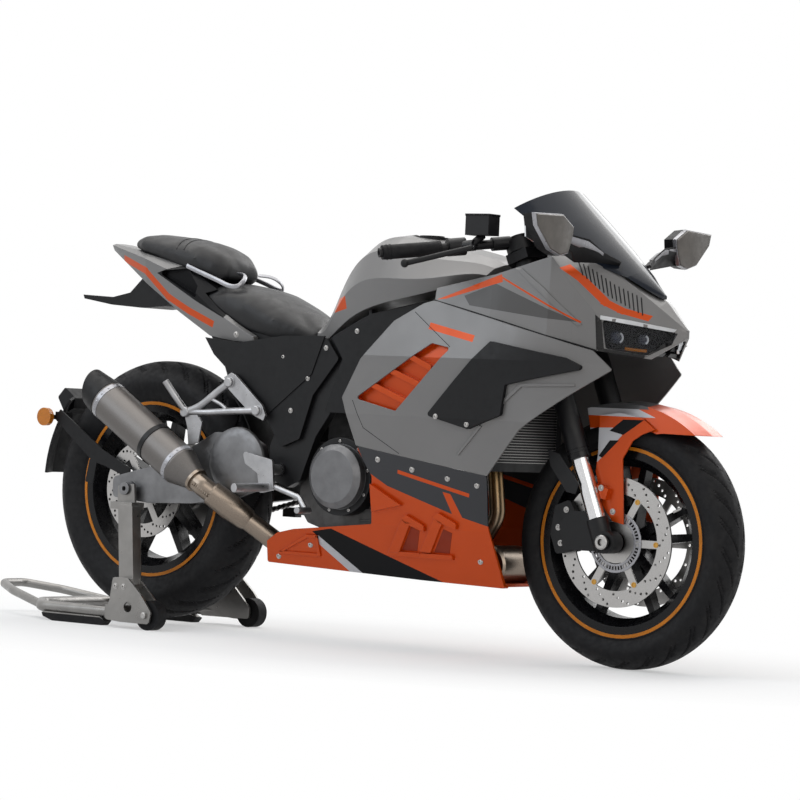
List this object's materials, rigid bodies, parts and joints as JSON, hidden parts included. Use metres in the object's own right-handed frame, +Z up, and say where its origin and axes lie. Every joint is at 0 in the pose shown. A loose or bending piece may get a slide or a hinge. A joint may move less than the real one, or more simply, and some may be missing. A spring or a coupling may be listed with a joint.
{
  "type": "sport motorcycle on a paddock stand",
  "caption": "Fully faired road sport motorcycle with clip-on bars, twin seats and upswept silencer, parked upright on a rear paddock stand.",
  "frame": {"origin": "floor point under the middle of the overall length, on the bike's centre plane", "axes": "+X forward, +Y to the rider's left, +Z up"},
  "size_m": [2.224, 0.769, 1.106],
  "materials": {
    "grey_paint": "metallic grey paint",
    "orange_paint": "gloss orange paint",
    "black_plastic": "textured black",
    "black_metal": "satin black",
    "grey_metal": "satin grey",
    "tyre": "road tyre",
    "steel": "ground",
    "titanium": "satin titanium",
    "chrome": "polished",
    "aluminium": "satin",
    "leather": "black seat cover",
    "rubber": "ribbed",
    "smoked": "smoked",
    "clear": "clear",
    "mirror": "silvered",
    "amber": "amber reflector",
    "red": "red lens"
  },
  "bodies": {
    "chassis": {"frame": "black_metal", "swingarm": "grey_metal", "rear_shock": "steel", "engine": "black_metal", "engine_covers": "grey_metal", "radiator": "black_metal", "exhaust_pipes": "titanium", "silencer": "titanium", "silencer_cap": "black_plastic", "side_fairings": "grey_paint", "belly_pan": "orange_paint", "vent_louvres": "orange_paint", "duct_panels": "black_plastic", "nose_cowl": "grey_paint", "headlights": "black_plastic", "headlight_lenses": "clear", "windscreen": "smoked", "instrument_panel": "black_plastic", "mirrors": "black_plastic", "mirror_glasses": "mirror", "fuel_tank": "grey_paint", "fuel_cap": "steel", "side_covers": "black_plastic", "rider_seat": "leather", "pillion_seat": "leather", "tail_fairing": "grey_paint", "tail_light": "red", "plate_bracket": "black_plastic", "rear_hugger": "black_plastic", "reflectors": "amber", "passenger_brackets": "aluminium", "footrests": "aluminium", "chain": "steel", "rear_caliper": "black_metal", "paddock_stand": "grey_metal"},
    "steering": {"fork_tubes": "black_metal", "fork_sliders": "chrome", "fork_feet": "black_metal", "yokes": "black_metal", "handlebars": "black_metal", "grips": "rubber", "levers": "aluminium", "front_mudguard": "orange_paint", "front_calipers": "black_metal"},
    "front_wheel": {"front_rim": "black_metal", "front_tyre": "tyre", "front_discs": "steel"},
    "rear_wheel": {"rear_rim": "black_metal", "rear_tyre": "tyre", "rear_disc": "steel", "rear_sprocket": "steel"},
    "side_stand": {"side_stand": "black_metal"},
    "stand_roller_right": {"roller_right": "rubber"},
    "stand_roller_left": {"roller_left": "rubber"}
  },
  "joints": [
    {"name": "steering_turn", "type": "hinge", "parent": "chassis", "child": "steering", "pos_m": [0.55262, 0, 0.85583], "axis": [-0.3665, 0, 0.9304], "range_deg": [-25, 25]},
    {"name": "front_wheel_spin", "type": "hinge", "parent": "steering", "child": "front_wheel", "pos_m": [0.818, 0, 0.294], "axis": [0, 1, 0], "continuous": true},
    {"name": "rear_wheel_spin", "type": "hinge", "parent": "chassis", "child": "rear_wheel", "pos_m": [-0.592, 0, 0.345], "axis": [0, 1, 0], "continuous": true},
    {"name": "side_stand_fold", "type": "hinge", "parent": "chassis", "child": "side_stand", "pos_m": [-0.072, 0.166, 0.304], "axis": [0.2419, -0.9703, 0], "range_deg": [0, 95]},
    {"name": "roller_right_spin", "type": "hinge", "parent": "chassis", "child": "stand_roller_right", "pos_m": [-0.455, -0.198, 0.037], "axis": [0, 1, 0], "continuous": true},
    {"name": "roller_left_spin", "type": "hinge", "parent": "chassis", "child": "stand_roller_left", "pos_m": [-0.455, 0.198, 0.037], "axis": [0, 1, 0], "continuous": true}
  ]
}
